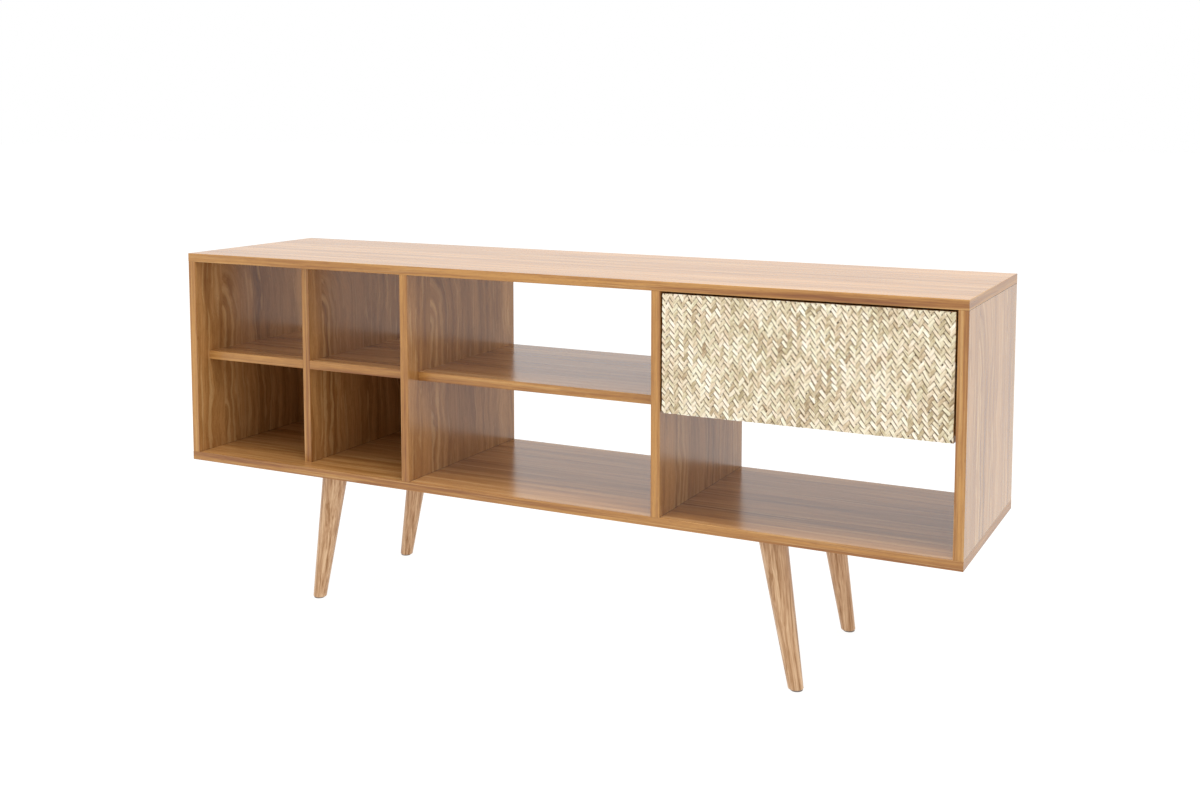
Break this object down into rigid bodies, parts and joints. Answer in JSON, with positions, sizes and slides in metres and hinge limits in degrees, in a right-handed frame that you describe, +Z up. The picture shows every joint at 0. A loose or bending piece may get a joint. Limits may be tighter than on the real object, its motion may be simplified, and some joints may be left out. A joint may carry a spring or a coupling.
{
  "type": "tv stand with drawer",
  "caption": "Low media cabinet on splayed round legs, with open cubbies, a shelved open bay and a drawer behind a woven herringbone front.",
  "frame": {"origin": "on the floor, under the middle of the carcass", "axes": "+X along the cabinet's length to the right seen from the front, +Y from the front to the back, +Z up"},
  "size_m": [1.4, 0.35, 0.612],
  "materials": {
    "oak_laminate_board": "satin oak-print laminate",
    "oak_edge_tape": "satin edge tape",
    "turned_leg_wood": "clear satin lacquer",
    "nylon_glide": "moulded",
    "beech_dowel": "raw",
    "hardboard": "printed oak",
    "drawer_board": "satin foil",
    "woven_rush": "woven flat strips",
    "zinc_plated_steel": "zinc plated",
    "runner_steel": "rolled, zinc plated"
  },
  "bodies": {
    "cabinet": {"bay_divider_left": "oak_laminate_board", "bay_divider_left_edging": "oak_edge_tape", "bay_divider_right": "oak_laminate_board", "bay_divider_right_edging": "oak_edge_tape", "bottom_panel": "oak_laminate_board", "bottom_panel_edging": "oak_edge_tape", "cubby_back_left": "hardboard", "cubby_back_right": "hardboard", "cubby_divider": "oak_laminate_board", "cubby_divider_edging": "oak_edge_tape", "cubby_shelf_left": "oak_laminate_board", "cubby_shelf_left_edging": "oak_edge_tape", "cubby_shelf_right": "oak_laminate_board", "cubby_shelf_right_edging": "oak_edge_tape", "drawer_bay_back": "hardboard", "drawer_shelf": "oak_laminate_board", "drawer_shelf_edging": "oak_edge_tape", "glide_back_left": "nylon_glide", "glide_back_right": "nylon_glide", "glide_front_left": "nylon_glide", "glide_front_right": "nylon_glide", "hanger_bolts": "zinc_plated_steel", "left_side": "oak_laminate_board", "left_side_edging": "oak_edge_tape", "leg_back_left": "turned_leg_wood", "leg_back_right": "turned_leg_wood", "leg_front_left": "turned_leg_wood", "leg_front_right": "turned_leg_wood", "middle_shelf": "oak_laminate_board", "middle_shelf_edging": "oak_edge_tape", "right_side": "oak_laminate_board", "right_side_edging": "oak_edge_tape", "runner_cabinet_screws": "zinc_plated_steel", "runner_outer_left": "runner_steel", "runner_outer_right": "runner_steel", "shelf_dowels": "beech_dowel", "threaded_inserts": "zinc_plated_steel", "top_panel": "oak_laminate_board", "top_panel_edging": "oak_edge_tape", "upright_dowels": "beech_dowel"},
    "runner_slides": {"runner_middle_left": "runner_steel", "runner_middle_right": "runner_steel"},
    "outer_ball_cages": {"ball_cage_outer_left": "runner_steel", "ball_cage_outer_right": "runner_steel"},
    "inner_ball_cages": {"ball_cage_inner_left": "runner_steel", "ball_cage_inner_right": "runner_steel"},
    "drawer": {"woven_facing": "woven_rush", "drawer_front": "drawer_board", "drawer_side_left": "drawer_board", "drawer_side_right": "drawer_board", "drawer_inner_front": "drawer_board", "drawer_back": "drawer_board", "drawer_bottom": "hardboard", "front_screws": "zinc_plated_steel", "box_screws": "zinc_plated_steel", "runner_inner_left": "runner_steel", "runner_inner_right": "runner_steel", "runner_drawer_screws": "zinc_plated_steel"}
  },
  "joints": [
    {"name": "drawer_slide", "type": "slide", "parent": "cabinet", "child": "drawer", "axis": [0, -1, 0], "range_m": [0, 0.28]},
    {"name": "runner_middle_slide", "type": "slide", "parent": "cabinet", "child": "runner_slides", "axis": [0, -1, 0], "range_m": [0, 0.14]},
    {"name": "outer_cage_slide", "type": "slide", "parent": "cabinet", "child": "outer_ball_cages", "axis": [0, -1, 0], "range_m": [0, 0.07]},
    {"name": "inner_cage_slide", "type": "slide", "parent": "cabinet", "child": "inner_ball_cages", "axis": [0, -1, 0], "range_m": [0, 0.21]}
  ],
  "couplings": [
    {"joint": "runner_middle_slide", "follows": "drawer_slide", "ratio": 0.5},
    {"joint": "outer_cage_slide", "follows": "drawer_slide", "ratio": 0.25},
    {"joint": "inner_cage_slide", "follows": "drawer_slide", "ratio": 0.75}
  ]
}
